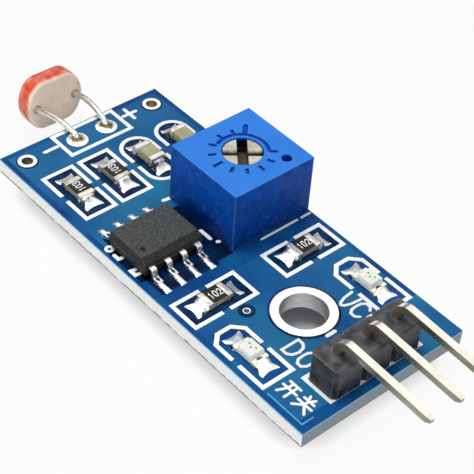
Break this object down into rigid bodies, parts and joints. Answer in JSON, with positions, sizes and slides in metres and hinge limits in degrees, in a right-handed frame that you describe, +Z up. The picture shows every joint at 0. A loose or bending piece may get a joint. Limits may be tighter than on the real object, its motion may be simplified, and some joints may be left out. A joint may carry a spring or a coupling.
{
  "type": "photoresistor light sensor module",
  "caption": "Narrow circuit board with a photoresistor on bent leads at one end, a comparator chip, a cross-slot trimmer, indicator lamps, a mounting hole and a bent pin header.",
  "frame": {"origin": "on the axis of the mounting hole, at the underside of the board", "axes": "+X along the board from the photoresistor to the header, +Y across the board towards the trimmer, +Z up out of the side with the components"},
  "size_m": [0.0425, 0.014, 0.0075],
  "materials": {
    "board_mask": "glossy blue mask over glass-epoxy",
    "legend_ink": "printed white ink",
    "hole_plating": "tinned copper",
    "solder": "bright solder",
    "lead_wire": "tinned wire",
    "sensor_ceramic": "matt fired ceramic",
    "sensor_film": "light-sensitive film",
    "sensor_electrode": "thin metal film",
    "sensor_resin": "clear resin coat",
    "trimmer_shell": "satin blue moulding",
    "trimmer_rotor": "cream moulding",
    "wiper_metal": "spring sheet",
    "seal_rubber": "soft rubber",
    "resistive_film": "printed resistive film",
    "white_ceramic": "white fired ceramic",
    "filling_resin": "potting resin",
    "chip_moulding": "matt dark moulding",
    "chip_lead": "tinned lead",
    "resistor_glaze": "black glaze",
    "end_cap": "tinned end",
    "capacitor_ceramic": "tan fired ceramic",
    "lamp_base": "white laminate",
    "lamp_die": "light chip",
    "lamp_lens": "clear lens",
    "header_moulding": "black moulding",
    "header_pin": "tin-plated brass"
  },
  "bodies": {
    "module": {"circuit_board": "board_mask", "board_legend": "legend_ink", "mounting_hole_plating": "hole_plating", "corner_hole_plating_1": "hole_plating", "corner_hole_plating_2": "hole_plating", "sensor_base": "sensor_ceramic", "sensor_track": "sensor_film", "sensor_electrodes": "sensor_electrode", "sensor_resin": "sensor_resin", "sensor_lead_1": "lead_wire", "sensor_lead_2": "lead_wire", "sensor_solder_1": "solder", "sensor_solder_2": "solder", "trimmer_case": "trimmer_shell", "trimmer_seal": "seal_rubber", "trimmer_track": "resistive_film", "trimmer_substrate": "white_ceramic", "trimmer_filling": "filling_resin", "trimmer_pin_1": "lead_wire", "trimmer_pin_2": "lead_wire", "trimmer_pin_3": "lead_wire", "trimmer_solder": "solder", "comparator_body": "chip_moulding", "comparator_leads": "chip_lead", "comparator_solder": "solder", "resistor_body_1": "white_ceramic", "resistor_body_2": "white_ceramic", "resistor_body_3": "white_ceramic", "resistor_body_4": "white_ceramic", "resistor_glaze_1": "resistor_glaze", "resistor_glaze_2": "resistor_glaze", "resistor_glaze_3": "resistor_glaze", "resistor_glaze_4": "resistor_glaze", "resistor_caps_1": "end_cap", "resistor_caps_2": "end_cap", "resistor_caps_3": "end_cap", "resistor_caps_4": "end_cap", "resistor_solder": "solder", "capacitor_body_1": "capacitor_ceramic", "capacitor_body_2": "capacitor_ceramic", "capacitor_caps_1": "end_cap", "capacitor_caps_2": "end_cap", "capacitor_solder": "solder", "lamp_base_1": "lamp_base", "lamp_base_2": "lamp_base", "lamp_terminals_1": "end_cap", "lamp_terminals_2": "end_cap", "lamp_die_1": "lamp_die", "lamp_die_2": "lamp_die", "lamp_lens_1": "lamp_lens", "lamp_lens_2": "lamp_lens", "lamp_solder": "solder", "header_block": "header_moulding", "header_pin_1": "header_pin", "header_pin_2": "header_pin", "header_pin_3": "header_pin", "header_solder": "solder"},
    "rotor": {"trimmer_rotor": "trimmer_rotor", "trimmer_wiper": "wiper_metal"}
  },
  "joints": [
    {"name": "trimmer_turn", "type": "hinge", "parent": "module", "child": "rotor", "pos_m": [-0.01055, 0.00347, 0], "axis": [0, 0, 1], "range_deg": [-164, 91]}
  ]
}
